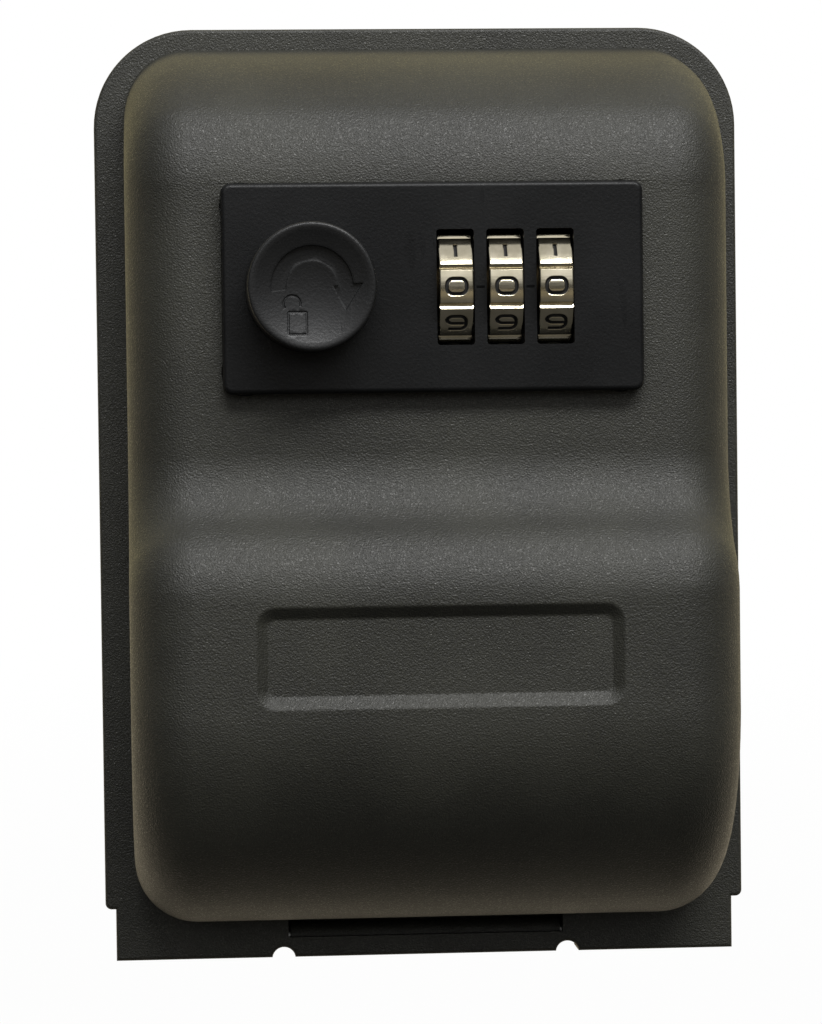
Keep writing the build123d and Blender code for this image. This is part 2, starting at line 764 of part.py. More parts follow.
with BuildPart() as latch_plate:
    with BuildSketch(front(latch_depth)):
        with Locations(((latch_left + latch_right) / 2, (latch_bottom + latch_top) / 2)):
            RectangleRounded(latch_right - latch_left, latch_top - latch_bottom, latch_corner)
        with Locations((knob_x - pin_shift, (slot_low + slot_high) / 2)):
            SlotOverall(slot_high - slot_low, 2 * slot_half, rotation=90, mode=Mode.SUBTRACT)
        with Locations(*[(x, stud_height) for x in stud_xs]):
            Circle(keyhole_radius, mode=Mode.SUBTRACT)
        for x in stud_xs:
            slot_end = x - latch_travel
            with Locations(((x + slot_end) / 2, stud_height)):
                SlotCenterToCenter(
                    x - slot_end, 2 * (stud_neck_radius + keyhole_slot_gap), mode=Mode.SUBTRACT
                )
        with Locations(((tab_low + tab_high + reset_travel - latch_travel) / 2, lock_height)):
            Rectangle(
                tab_high - tab_low + latch_travel + reset_travel + 2 * slot_gap,
                thumb_tab_height + 2 * slot_gap,
                mode=Mode.SUBTRACT,
            )
        with Locations((lug_right + lug_root / 2, lock_height)):
            Rectangle(lug_root, lug_width + 2 * lug_root_gap, mode=Mode.SUBTRACT)
    extrude(amount=latch_thickness)
    with BuildSketch(across(lug_left)):
        with Locations((-(latch_depth + wheel_depth) / 2, lock_height)):
            Rectangle(wheel_depth - latch_depth, lug_width)
        with Locations((-wheel_depth, lock_height)):
            Circle(lug_eye_radius)
            Circle(rod_radius + press_fit, mode=Mode.SUBTRACT)
    extrude(amount=latch_thickness)
finish(latch_plate, "latch_plate")

# Lock frame: walls, a deck, two cheeks and two ribs that cradle the shaft, the knob's bush
rib_front = upper_face_depth - frame_front_gap
cheek_half_height = yoke_half_height - cheek_relief
way_start = wheel_depth - rod_radius - rod_way_gap
way_end = frame_front + overcut
with BuildPart() as lock_frame:
    with BuildSketch(front(frame_back)):
        with Locations((0, frame_centre)):
            RectangleRounded(frame_width, frame_height, frame_corner)
            RectangleRounded(
                frame_width - 2 * frame_wall,
                frame_height - 2 * frame_wall,
                frame_corner - frame_wall / 2,
                mode=Mode.SUBTRACT,
            )
        with Locations(*post_points):
            Circle(panel_post_radius + frame_post_wall)
    extrude(amount=frame_front - frame_back)
    add(door_form(door_wall + frame_front_gap, rim_depth), mode=Mode.INTERSECT)
    with BuildSketch(front(deck_depth)):
        with Locations((0, frame_centre)):
            Rectangle(frame_width - frame_wall, frame_height - frame_wall)
        with Locations(((left_cheek_x + right_cheek_x) / 2 + cheek_thickness / 2, lock_height)):
            Rectangle(
                right_cheek_x - left_cheek_x - cheek_thickness, wheel_opening_height, mode=Mode.SUBTRACT
            )
        with Locations(((lug_left + left_cheek_x) / 2 - cheek_gap, lock_height)):
            Rectangle(left_cheek_x - lug_left, 2 * (lug_eye_radius + slot_gap), mode=Mode.SUBTRACT)
    extrude(amount=deck_thickness)
    # Ribs between the wheels and cheeks at the ends of the stack, open to the front
    for rib_x in rib_xs:
        with BuildSketch(across(rib_x - rib_thickness / 2)):
            with Locations((-(deck_depth + rib_front) / 2, lock_height)):
                Rectangle(rib_front - deck_depth, wheel_opening_height - 2 * rib_gap)
            with Locations((-(deck_depth + deck_thickness / 2), lock_height)):
                Rectangle(deck_thickness, wheel_opening_height + 2 * rib_root)
            with Locations((-wheel_depth, lock_height)):
                Circle(sleeve_radius + rib_gap, mode=Mode.SUBTRACT)
            with Locations((-(wheel_depth + rib_front + overcut) / 2, lock_height)):
                Rectangle(
                    rib_front + overcut - wheel_depth, 2 * (sleeve_radius + rib_gap), mode=Mode.SUBTRACT
                )
        extrude(amount=rib_thickness)
    for cheek_x in (left_cheek_x, right_cheek_x):
        with BuildSketch(across(cheek_x)):
            with Locations((-(deck_depth + rib_front) / 2, lock_height)):
                Rectangle(rib_front - deck_depth, 2 * cheek_half_height)
            with Locations((-(deck_depth + deck_thickness / 2), lock_height)):
                Rectangle(deck_thickness, wheel_opening_height + 2 * rib_root)
            with Locations((-wheel_depth, lock_height)):
                Circle(rod_radius + rod_fit, mode=Mode.SUBTRACT)
            with Locations((-(wheel_depth + rib_front + overcut) / 2, lock_height)):
                Rectangle(
                    rib_front + overcut - wheel_depth, 2 * (rod_radius + rod_fit), mode=Mode.SUBTRACT
                )
        extrude(amount=cheek_thickness)
    # Bush for the spindle and a ledge that guides the latch plate
    with BuildSketch(front(deck_depth)):
        with Locations((knob_x, lock_height)):
            Circle(spindle_radius + spindle_fit + bush_wall)
    extrude(amount=bush_length)
    with BuildSketch(front(deck_depth)):
        with Locations((knob_x, lock_height)):
            Circle(spindle_radius + spindle_fit)
    extrude(amount=bush_length, mode=Mode.SUBTRACT)
    with BuildSketch(front(latch_depth)):
        with Locations(((latch_left + latch_right) / 2, latch_bottom - latch_guide_gap - ledge_height / 2)):
            Rectangle(latch_right - latch_left, ledge_height)
    extrude(amount=deck_depth - latch_depth)
    # Screw holes right through the walls' posts, and a way out for the rod
    with BuildSketch(front(frame_back)):
        with Locations(*post_points):
            Circle(screw_radius + screw_clearance)
    extrude(amount=frame_front - frame_back, mode=Mode.SUBTRACT)
    with BuildSketch(front(deck_depth)):
        with Locations(*[(x, spring_root_height) for x in rib_xs]):
            Circle(spring_screw_radius + press_fit)
    extrude(amount=deck_thickness, mode=Mode.SUBTRACT)
    with BuildSketch(across(right_cheek_x + cheek_thickness)):
        with Locations((-(way_start + way_end) / 2, lock_height)):
            Rectangle(way_end - way_start, 2 * (rod_radius + rod_way_gap))
    extrude(amount=frame_right - right_cheek_x, mode=Mode.SUBTRACT)
finish(lock_frame, "lock_frame")

# Plate that closes the lock from inside, with holes for the studs and the thumb tab
with BuildPart() as inner_cover_plate:
    with BuildSketch(front(inner_plate_depth)):
        with Locations((0, frame_centre)):
            RectangleRounded(frame_width, frame_height, frame_corner)
        with Locations(*[(x, stud_height + keyhole_rise / 2) for x in stud_xs]):
            SlotCenterToCenter(keyhole_rise, 2 * keyhole_radius, rotation=90, mode=Mode.SUBTRACT)
        with Locations(((tab_low + tab_high + reset_travel) / 2, lock_height)):
            Rectangle(
                thumb_tab_width + reset_travel + 2 * slot_gap,
                thumb_tab_height + 2 * slot_gap,
                mode=Mode.SUBTRACT,
            )
        with Locations(*post_points):
            Circle(screw_radius + screw_clearance, mode=Mode.SUBTRACT)
    extrude(amount=inner_plate_thickness)
finish(inner_cover_plate, "inner_cover_plate")

# Four lock screws from inside, through plate and frame into the panel's posts, one node
with BuildPart() as lock_screws:
    with BuildSketch(front(inner_plate_depth)):
        with Locations(*post_points):
            Circle(screw_radius)
    extrude(amount=upper_face_depth + screw_lap - inner_plate_depth)
    with BuildSketch(front(inner_plate_depth)):
        with Locations(*post_points):
            Circle(screw_head_radius)
    extrude(amount=-screw_head_height)
    fillet(lock_screws.faces().group_by(Axis.Y)[-1].edges(), screw_head_round)
finish(lock_screws, "lock_screws")

# Reset slide: a plate behind the wheels with a fork at each end of the sleeves and a thumb tab
with BuildPart() as reset_slide:
    yoke_left = left_fork_x
    yoke_right = right_fork_x + fork_thickness
    with BuildSketch(front(yoke_depth)):
        with Locations(((yoke_left + yoke_right) / 2, lock_height)):
            Rectangle(yoke_right - yoke_left, 2 * (yoke_half_height - yoke_trim))
    extrude(amount=yoke_thickness)
    for fork_x in (left_fork_x, right_fork_x):
        with BuildSketch(across(fork_x)):
            with Locations((-(yoke_depth + wheel_depth + fork_reach) / 2, lock_height)):
                Rectangle(wheel_depth + fork_reach - yoke_depth, 2 * (yoke_half_height - yoke_trim))
            with Locations((-wheel_depth, lock_height)):
                Circle(sleeve_pocket_radius, mode=Mode.SUBTRACT)
            with Locations((-wheel_depth - (fork_reach + overcut) / 2, lock_height)):
                Rectangle(fork_reach + overcut, 2 * sleeve_pocket_radius, mode=Mode.SUBTRACT)
        extrude(amount=fork_thickness)
    with BuildSketch(front(thumb_tab_back)):
        with Locations((thumb_tab_x, lock_height)):
            RectangleRounded(thumb_tab_width, thumb_tab_height, thumb_tab_corner)
    extrude(amount=yoke_depth - thumb_tab_back + overlap)
finish(reset_slide, "reset_slide")

# Detent spring: a comb on the deck with one finger to each wheel, and its screws
finger_reach = math.sqrt(
    (wheel_radius + spring_gap) ** 2 - (wheel_depth - deck_front - spring_thickness) ** 2
)
with BuildPart() as detent_spring:
    with BuildSketch(front(deck_front)):
        with Locations((wheel_xs[1], spring_root_height)):
            Rectangle(wheel_pitch * (wheel_count - 1) + spring_finger_width, spring_band)
        for wheel_x in wheel_xs:
            finger_tip = lock_height + finger_reach
            finger_root = spring_root_height - spring_band / 2
            with Locations((wheel_x, (finger_tip + finger_root) / 2)):
                Rectangle(spring_finger_width, finger_root - finger_tip)
        with Locations(*[(x, spring_root_height) for x in rib_xs]):
            Circle(spring_screw_radius + spring_hole_gap, mode=Mode.SUBTRACT)
    extrude(amount=spring_thickness)
finish(detent_spring, "detent_spring")

with BuildPart() as detent_spring_screws:
    with BuildSketch(front(deck_depth + screw_end_gap)):
        with Locations(*[(x, spring_root_height) for x in rib_xs]):
            Circle(spring_screw_radius)
    extrude(amount=deck_thickness + spring_thickness - screw_end_gap)
    with BuildSketch(front(deck_front + spring_thickness)):
        with Locations(*[(x, spring_root_height) for x in rib_xs]):
            Circle(spring_screw_head)
    extrude(amount=spring_screw_head_height)
finish(detent_spring_screws, "detent_spring_screws")

# Knob: dished face inside a thin rim, pressed on its spindle
with BuildPart() as knob:
    with BuildSketch(Plane.XY.offset(lock_height)):
        with BuildLine():
            Polyline(
                (knob_x, -knob_back),
                (knob_x + knob_radius + knob_taper, -knob_back),
                (knob_x + knob_radius, -knob_front),
                (knob_x + knob_radius - knob_rim, -knob_front),
            )
            TangentArc(
                (knob_x, -(knob_front - knob_dish)),
                (knob_x + knob_radius - knob_rim, -knob_front),
                tangent=(1, 0),
            )
            Line((knob_x, -(knob_front - knob_dish)), (knob_x, -knob_back))
        make_face()
    revolve(axis=Axis((knob_x, 0, lock_height), (0, 1, 0)))
    fillet(knob.edges().filter_by(GeomType.CIRCLE).group_by(Axis.Y)[0], knob_edge_round)
    with BuildSketch(front(knob_back)):
        with Locations((knob_x, lock_height)):
            Circle(spindle_radius + press_fit)
    extrude(amount=spindle_socket, mode=Mode.SUBTRACT)
finish(knob, "knob")

with BuildPart() as knob_spindle:
    with BuildSketch(front(crank_disc_back)):
        with Locations((knob_x, lock_height)):
            Circle(crank_disc_radius)
    extrude(amount=crank_disc_thickness)
    with BuildSketch(front(crank_disc_back)):
        with Locations((knob_x, lock_height)):
            Circle(spindle_radius)
    extrude(amount=knob_back + spindle_socket - screw_end_gap - crank_disc_back)
    with BuildSketch(front(latch_depth - crank_pin_lap)):
        with Locations((knob_x - pin_shift, lock_height - pin_drop)):
            Circle(crank_pin_radius)
    extrude(amount=crank_disc_back + overlap - latch_depth + crank_pin_lap)
    # Groove for the clip
    with BuildSketch(front(deck_depth + bush_length + clip_gap)):
        with Locations((knob_x, lock_height)):
            Circle(spindle_radius + overcut)
            Circle(spindle_radius - clip_groove, mode=Mode.SUBTRACT)
    extrude(amount=clip_thickness + 2 * clip_side_gap, mode=Mode.SUBTRACT)
finish(knob_spindle, "knob_spindle")

with BuildPart() as spindle_clip:
    clip_bore = spindle_radius - clip_groove + clip_side_gap
    with BuildSketch(front(deck_depth + bush_length + clip_gap + clip_side_gap)):
        with Locations((knob_x, lock_height)):
            Circle(clip_radius)
            Circle(clip_bore, mode=Mode.SUBTRACT)
            with Locations((0, -(clip_radius + overcut) / 2)):
                Rectangle(clip_mouth, clip_radius + overcut, mode=Mode.SUBTRACT)
    extrude(amount=clip_thickness)
finish(spindle_clip, "spindle_clip")
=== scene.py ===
import math

import bpy
from mathutils import Matrix, Vector


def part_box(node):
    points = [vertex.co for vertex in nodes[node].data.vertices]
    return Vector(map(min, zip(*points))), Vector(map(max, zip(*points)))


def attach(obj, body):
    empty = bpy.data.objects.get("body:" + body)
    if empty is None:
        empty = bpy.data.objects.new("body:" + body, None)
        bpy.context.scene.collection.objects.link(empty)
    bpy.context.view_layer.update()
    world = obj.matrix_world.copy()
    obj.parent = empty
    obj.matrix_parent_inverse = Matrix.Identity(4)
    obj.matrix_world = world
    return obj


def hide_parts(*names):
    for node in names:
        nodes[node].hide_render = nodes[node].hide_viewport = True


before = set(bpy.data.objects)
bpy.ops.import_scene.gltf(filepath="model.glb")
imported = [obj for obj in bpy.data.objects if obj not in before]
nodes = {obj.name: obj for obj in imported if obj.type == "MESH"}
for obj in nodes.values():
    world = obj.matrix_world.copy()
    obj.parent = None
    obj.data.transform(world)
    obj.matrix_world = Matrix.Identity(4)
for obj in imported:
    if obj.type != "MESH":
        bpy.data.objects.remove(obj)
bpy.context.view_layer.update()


# Back housing and door cover: zinc castings in a dark olive-grey powder coat. The housing is screwed
# to the wall through its back, and the door hangs on the pin in the housing's bottom edge. The coat is
# finely pebbled and holds a little dust.
class Wire:
    """One output of a material's node, which takes part in sums and products."""

    def __init__(self, tree, socket):
        self.tree = tree
        self.socket = socket

    def node(self, kind, *values, out=0, settings=(), stops=(), **named):
        """Add a node: its settings and ramp stops first, then the values or links of its sockets."""
        made = self.tree.nodes.new(kind)
        for name, value in dict(settings).items():
            setattr(made, name, value)
        if stops:
            ramp = made.color_ramp.elements
            while len(ramp) < len(stops):
                ramp.new(0.5)
            for element, (place, tone) in zip(ramp, stops):
                element.position = place
                element.color = (*tone, 1)
        for key, value in [*enumerate(values), *named.items()]:
            socket = made.inputs[key if isinstance(key, int) else key.replace("_", " ")]
            if isinstance(value, Wire):
                self.tree.links.new(value.socket, socket)
            elif value is not None:
                socket.default_value = (*value, 1) if socket.type == "RGBA" else value
        return Wire(self.tree, made.outputs[out])

    def math(self, operation, *values):
        return self.node("ShaderNodeMath", *values, settings={"operation": operation})

    def __add__(self, other):
        return self.math("ADD", self, other)

    __radd__ = __add__

    def __mul__(self, other):
        return self.math("MULTIPLY", self, other)

    __rmul__ = __mul__

    def __sub__(self, other):
        return self.math("SUBTRACT", self, other)

    def __rsub__(self, other):
        return self.math("SUBTRACT", other, self)

    def step(self, low, high):
        """A smooth step from 0 at low to 1 at high."""
        settings = {"interpolation_type": "SMOOTHSTEP"}
        return self.node("ShaderNodeMapRange", self, low, high, settings=settings)

    def noise(self, scale, detail=2.0, roughness=0.5):
        """Cloudy noise with grains of about 1 / scale metres."""
        values = {"Vector": self, "Scale": scale, "Detail": detail, "Roughness": roughness}
        return self.node("ShaderNodeTexNoise", **values)

    def pebbles(self, scale, smoothness=0.6):
        """Rounded pebbles about 1 / scale metres apart, low in their middles."""
        values = {"Vector": self, "Scale": scale, "Smoothness": smoothness}
        return self.node("ShaderNodeTexVoronoi", settings={"feature": "SMOOTH_F1"}, **values)

    def stretched(self, x, y, z):
        """The same coordinates with each axis scaled."""
        return self.node("ShaderNodeVectorMath", self, (x, y, z), settings={"operation": "MULTIPLY"})

    def mix(self, first, second):
        """A colour between two, with this value as the share of the second."""
        rest = [None] * 5
        return self.node("ShaderNodeMix", self, *rest, first, second, settings={"data_type": "RGBA"}, out=2)

    def bump(self, height, strength=1.0):
        """A normal from this height, which is in units of the given height in metres."""
        return self.node("ShaderNodeBump", Strength=strength, Distance=height, Height=self)


def new_material(name, **constants):
    """A material with its shader's fixed values set, its shader and its object coordinates."""
    material = bpy.data.materials.new(name)
    material.use_nodes = True
    tree = material.node_tree
    shader = tree.nodes["Principled BSDF"]
    for key, value in constants.items():
        shader.inputs[key.replace("_", " ")].default_value = value
    place = tree.nodes.new("ShaderNodeTexCoord")
    return material, shader, Wire(tree, place.outputs["Object"])


def feed(shader, **wires):
    """Link values that vary over the surface to the shader's sockets."""
    for key, wire in wires.items():
        wire.tree.links.new(wire.socket, shader.inputs[key.replace("_", " ")])


def dress(names, material):
    """Give CAD nodes a material."""
    for name in names:
        for slot in nodes[name].material_slots:
            slot.material = material


coat, coat_shader, place = new_material("powder_coat", Specular_IOR_Level=0.5)
pebble = place.pebbles(4600, smoothness=0.7)
grain = place.noise(5200, detail=2)
speck = place.noise(4800, detail=1).step(0.54, 0.68)
clouds = place.noise(60, detail=3)
height = pebble * 0.5 + grain * 0.8
tone = clouds.step(0.3, 0.7) * 0.35 + grain.step(0.38, 0.62) * 0.25 + speck * 0.4
feed(
    coat_shader,
    Base_Color=tone.mix((0.0095, 0.0095, 0.0068), (0.037, 0.0368, 0.0275)),
    Roughness=0.53 - speck * 0.2 + clouds * 0.06,
    Normal=height.bump(0.0001),
)
dress(["base_housing", "door_cover"], coat)


# Lock panel: satin black moulded plastic, held on the door's face by four screws from inside. Its face
# has a fine grain and the light scratches of use.
plastic, plastic_shader, place = new_material("panel_plastic", Specular_IOR_Level=0.23)
grain = place.noise(3200, detail=2)
speck = place.noise(4600, detail=1).step(0.55, 0.7)
clouds = place.noise(90, detail=3)
scratch = place.stretched(1, 1, 0.12).noise(700, detail=1).step(0.66, 0.72)
scratch = scratch * place.noise(120).step(0.5, 0.62)
soiled = clouds.step(0.3, 0.7) * 0.4 + speck * 0.6
feed(
    plastic_shader,
    Base_Color=soiled.mix((0.0028, 0.0031, 0.0035), (0.0105, 0.0108, 0.0112)),
    Roughness=0.38 + clouds * 0.08 - scratch * 0.06 - speck * 0.06,
    Normal=(grain * 0.7 + scratch * 0.3).bump(0.00004),
)
dress(["lock_panel"], plastic)


# Inner metal parts: the pin, studs, hook, latch, spindle and screws are zinc plated steel, the reset
# slide is brass, the code sleeves are brass gone dark, and the lock's frame is bare cast zinc. They show
# with the door open.
def metal(name, colour, roughness, grain_size=0.0006, relief=0.00001, brushed=(1, 1, 1)):
    """A metal with a soft mottled gloss and fine marks."""
    material, shader, place = new_material(name, Metallic=1.0)
    grain = place.stretched(*brushed).noise(1 / grain_size, detail=3)
    clouds = place.noise(140, detail=3)
    darker = tuple(part * 0.82 for part in colour)
    feed(
        shader,
        Base_Color=(clouds * 0.6 + grain * 0.4).step(0.3, 0.7).mix(darker, colour),
        Roughness=roughness - 0.08 + grain * 0.1 + clouds * 0.08,
        Normal=grain.bump(relief),
    )
    return material


steel = metal("zinc_plated_steel", (0.62, 0.62, 0.6), 0.36)
brass = metal("brass", (0.75, 0.58, 0.3), 0.34)
dark_brass = metal("oxidised_brass", (0.06, 0.045, 0.025), 0.5)
cast_zinc = metal("cast_zinc", (0.5, 0.51, 0.52), 0.52, grain_size=0.0004, relief=0.00003)
dress(["hinge_pin", "keeper_studs", "key_hook", "key_hook_screw", "knob_spindle", "spindle_clip"], steel)
dress(["latch_plate", "gate_rod", "inner_cover_plate", "lock_screws"], steel)
dress(["detent_spring", "detent_spring_screws"], steel)
dress(["code_sleeve_1", "code_sleeve_2", "code_sleeve_3"], dark_brass)
dress(["reset_slide"], brass)
dress(["lock_frame"], cast_zinc)


# Number wheels: three rings of satin nickel plated zinc on the shaft, each with a V groove between its
# ten numbers. The numbers are pressed in and filled with black paint, and 1 stands over 0.
wheel_depth = 0.0262
wheel_height = 0.0258
wheel_radius = 0.0076
wheel_width = 0.0041
wheel_bore = 0.0046
wheel_groove = 0.00056
wheel_edge = 0.00015
groove_edge = 0.00005
number_turn = 36
facet_half = 14
facet_flatness = 0.42
facet_floor = 0.85
wheel_xs = (0.0027, 0.0088, 0.0149)
number_half_width = 0.00119
number_half_height = 0.00093
number_round = 0.00075
stroke = 0.00024
stroke_sink = 0.00012
press_radius = 0.0007
press_depth = 0.00008
along_x = (0, math.pi / 2, 0)
merge_gap = 1e-7
strokes = {
    0: [[(1, 1), (1, -1), (-1, -1), (-1, 1)]],
    1: [[(0, 1), (0, -1)]],
    2: [[(-1, 0.7), (-1, 1), (1, 1), (1, 0.1), (-1, 0.1), (-1, -1), (1, -1)]],
    3: [[(-1, 1), (1, 1), (1, -1), (-1, -1)], [(-0.3, 0), (1, 0)]],
    4: [[(-0.7, 1), (-1, -0.2), (1, -0.2)], [(0.5, 0.7), (0.5, -1)]],
    5: [[(1, 1), (-1, 1), (-1, 0.15), (1, 0.15), (1, -1), (-1, -1)]],
    6: [[(0.8, 1), (-1, 1), (-1, -1), (1, -1), (1, 0.1), (-0.9, 0.1)]],
    7: [[(-1, 1), (1, 1), (-0.2, -1)]],
    8: [[(1, 1), (1, -1), (-1, -1), (-1, 1)], [(-0.95, 0), (0.95, 0)]],
    9: [[(-0.8, -1), (1, -1), (1, 1), (-1, 1), (-1, -0.1), (0.9, -0.1)]],
}


def deselect():
    """Leave edit mode and select nothing."""
    if bpy.context.object and bpy.context.object.mode != "OBJECT":
        bpy.ops.object.mode_set(mode="OBJECT")
    bpy.ops.object.select_all(action="DESELECT")


def pick(*pieces):
    """Select these pieces, the last one active."""
    deselect()
    for piece in pieces:
        piece.select_set(True)
    bpy.context.view_layer.objects.active = pieces[-1]


def settle(piece):
    """Apply the place, turn and scale, so that the piece sits at the origin."""
    pick(piece)
    bpy.ops.object.transform_apply(location=True, rotation=True, scale=True)
    return piece


def block(place, size, turn=(0, 0, 0)):
    """A box with its middle at a place."""
    deselect()
    bpy.ops.mesh.primitive_cube_add(size=1, location=place, rotation=turn, scale=size)
    return settle(bpy.context.object)


def bar(radius, length, turn, place=(0, 0, 0), sides=48):
    """A round bar with its middle at a place."""
    deselect()
    bpy.ops.mesh.primitive_cylinder_add(
        vertices=sides, radius=radius, depth=length, location=place, rotation=turn
    )
    return settle(bpy.context.object)


def new_piece(name, data):
    """An object with this mesh, lamp or camera, in the scene."""
    piece = bpy.data.objects.new(name, data)
    bpy.context.scene.collection.objects.link(piece)
    return piece


def modifier(piece, kind, **settings):
    """Add a modifier and apply it."""
    pick(piece)
    made = piece.modifiers.new(kind.lower(), kind)
    for name, value in settings.items():
        setattr(made, name, value)
    bpy.ops.object.modifier_apply(modifier=made.name)


def cut(piece, cutter, crossing=False):
    """Cut one piece out of another, whose own parts may cross."""
    settings = {"operation": "DIFFERENCE", "solver": "EXACT", "use_self": crossing}
    modifier(piece, "BOOLEAN", object=cutter, **settings)
    bpy.data.objects.remove(cutter)


def edit(piece, kind="VERT", action="SELECT"):
    """Go into edit mode with everything selected, or nothing."""
    pick(piece)
    bpy.ops.object.mode_set(mode="EDIT")
    bpy.ops.mesh.select_mode(type=kind)
    bpy.ops.mesh.select_all(action=action)


def leave_edit():
    bpy.ops.object.mode_set(mode="OBJECT")


def select_faces(piece, wanted):
    """Go into edit mode with only the faces picked by their centre and normal."""
    edit(piece, "FACE", "DESELECT")
    leave_edit()
    for face in piece.data.polygons:
        face.select = wanted(face.center, face.normal)
    bpy.ops.object.mode_set(mode="EDIT")


def select_edges(piece, wanted):
    """Go into edit mode with only the edges picked by their two ends."""
    edit(piece, "EDGE", "DESELECT")
    leave_edit()
    points = piece.data.vertices
    for edge in piece.data.edges:
        edge.select = wanted(points[edge.vertices[0]].co, points[edge.vertices[1]].co)
    bpy.ops.object.mode_set(mode="EDIT")


def set_material(piece, *materials):
    """Give a piece its materials."""
    piece.data.materials.clear()
    for material in materials:
        piece.data.materials.append(material)


def smooth(piece, angle=30):
    """Smooth the shading over soft edges."""
    pick(piece)
    bpy.ops.object.shade_smooth_by_angle(angle=math.radians(angle))


def stroke_path(points, rounding, closed):
    """A wire along a stroke with its corners rounded, flat in X and Z."""
    mesh = bpy.data.meshes.new("stroke")
    links = [(n, n + 1) for n in range(len(points) - 1)]
    if closed:
        links.append((len(points) - 1, 0))
    mesh.from_pydata([(x, 0, z) for x, z in points], links, [])
    wire = new_piece("stroke", mesh)
    if len(points) > 2:
        edit(wire)
        if not closed:
            leave_edit()
            wire.data.vertices[0].select = False
            wire.data.vertices[len(points) - 1].select = False
            bpy.ops.object.mode_set(mode="EDIT")
        bpy.ops.mesh.bevel(affect="VERTICES", offset=rounding, offset_type="OFFSET", segments=6)
        leave_edit()
    edit(wire)
    bpy.ops.mesh.subdivide(number_cuts=1)
    leave_edit()
    return wire


def tube(wire, radius, name, resolution=2):
    """A closed round tube along a wire."""
    pick(wire)
    bpy.ops.object.convert(target="CURVE")
    wire.data.bevel_depth = radius
    wire.data.bevel_resolution = resolution
    wire.data.use_fill_caps = True
    wire.data.dimensions = "3D"
    bpy.ops.object.convert(target="MESH")
    edit(wire)
    bpy.ops.mesh.remove_doubles(threshold=merge_gap)
    bpy.ops.mesh.normals_make_consistent(inside=False)
    leave_edit()
    wire.name = name
    return wire


def number_strokes(radius, lift, name, resolution=2):
    """Tubes along the strokes of all ten numbers, laid round the wheel at the given lift."""
    tubes = []
    for number, lines in strokes.items():
        turn = math.radians(number_turn * number)
        for line in lines:
            closed = number in (0, 8) and len(line) == 4
            points = [(x * number_half_width, z * number_half_height) for x, z in line]
            wire = stroke_path(points, number_round, closed)
            for point in wire.data.vertices:
                angle = turn + point.co.z / wheel_radius
                reach = wheel_radius + lift
                point.co = (point.co.x, -reach * math.cos(angle), reach * math.sin(angle))
            tubes.append(tube(wire, radius, name, resolution))
    pick(*tubes)
    bpy.ops.object.join()
    return bpy.context.object


nickel, nickel_shader, place = new_material("satin_nickel", Metallic=1.0)
brushed = place.stretched(0.08, 1, 1).noise(3500, detail=2)
clouds = place.noise(500, detail=2)
feed(
    nickel_shader,
    Base_Color=clouds.step(0.3, 0.7).mix((0.56, 0.51, 0.38), (0.68, 0.62, 0.48)),
    Roughness=0.1 + brushed * 0.08 + clouds * 0.05,
    Normal=brushed.bump(0.000006),
)
number_paint, paint_shader, place = new_material("number_paint", Specular_IOR_Level=0.4)
feed(
    paint_shader,
    Base_Color=place.noise(1500).mix((0.004, 0.004, 0.004), (0.012, 0.011, 0.01)),
    Roughness=0.5 + place.noise(900) * 0.2,
)

wheel = bar(wheel_radius, wheel_width, along_x, sides=120)
wheel.name = "number_ring_1"
select_edges(wheel, lambda a, b: abs(a.x - b.x) < 1e-6 and abs(a.x) > wheel_width * 0.49)
bpy.ops.mesh.bevel(offset=wheel_edge, segments=2)
leave_edit()
set_material(wheel, nickel)
for number in range(10):
    turn = math.radians(number_turn * (number + 0.5))
    middle = (0, -wheel_radius * math.cos(turn), wheel_radius * math.sin(turn))
    size = (wheel_width * 2, wheel_groove, wheel_groove)
    cut(wheel, block(middle, size, turn=(-turn + math.pi / 4, 0, 0)))
cut(wheel, bar(wheel_bore, wheel_width * 2, along_x))
sharp = {"segments": 2, "limit_method": "ANGLE"}
modifier(wheel, "BEVEL", width=groove_edge, angle_limit=math.radians(40), **sharp)
pressed = number_strokes(press_radius, press_radius - press_depth, "pressed_numbers", resolution=5)
set_material(pressed, nickel)
cut(wheel, pressed, crossing=True)
painted = number_strokes(stroke, -stroke_sink, "painted_numbers")
set_material(painted, number_paint)
wheel.data.materials.append(number_paint)
cut(wheel, painted, crossing=True)
for point in wheel.data.vertices:
    if math.hypot(point.co.y, point.co.z) > wheel_radius * facet_floor:
        turn = math.atan2(point.co.z, -point.co.y)
        turn -= math.radians(number_turn) * round(turn / math.radians(number_turn))
        flat = min(1, math.cos(math.radians(facet_half)) / math.cos(turn))
        point.co.yz *= 1 - facet_flatness + facet_flatness * flat
smooth(wheel, 20)
for point in wheel.data.vertices:
    point.co += Vector((wheel_xs[0], -wheel_depth, wheel_height))
for number, wheel_x in enumerate(wheel_xs, start=1):
    ring = wheel
    if number > 1:
        ring = new_piece(f"number_ring_{number}", wheel.data.copy())
        for point in ring.data.vertices:
            point.co.x += wheel_x - wheel_xs[0]
    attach(ring, f"wheel_{number}")
    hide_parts(f"number_wheel_{number}")


# Door shell: the cast door cover with its crown drawn up a little, so that less of the housing's flange
# shows above it. The rest of the casting stays as it is.
crown_lift = 0.0013
crown_start = 0.0396
crown_full = 0.047


def joined_copy(name, node):
    """A copy of a CAD node whose loose triangles are joined."""
    piece = new_piece(name, nodes[node].data.copy())
    edit(piece)
    bpy.ops.mesh.remove_doubles(threshold=merge_gap)
    leave_edit()
    return piece


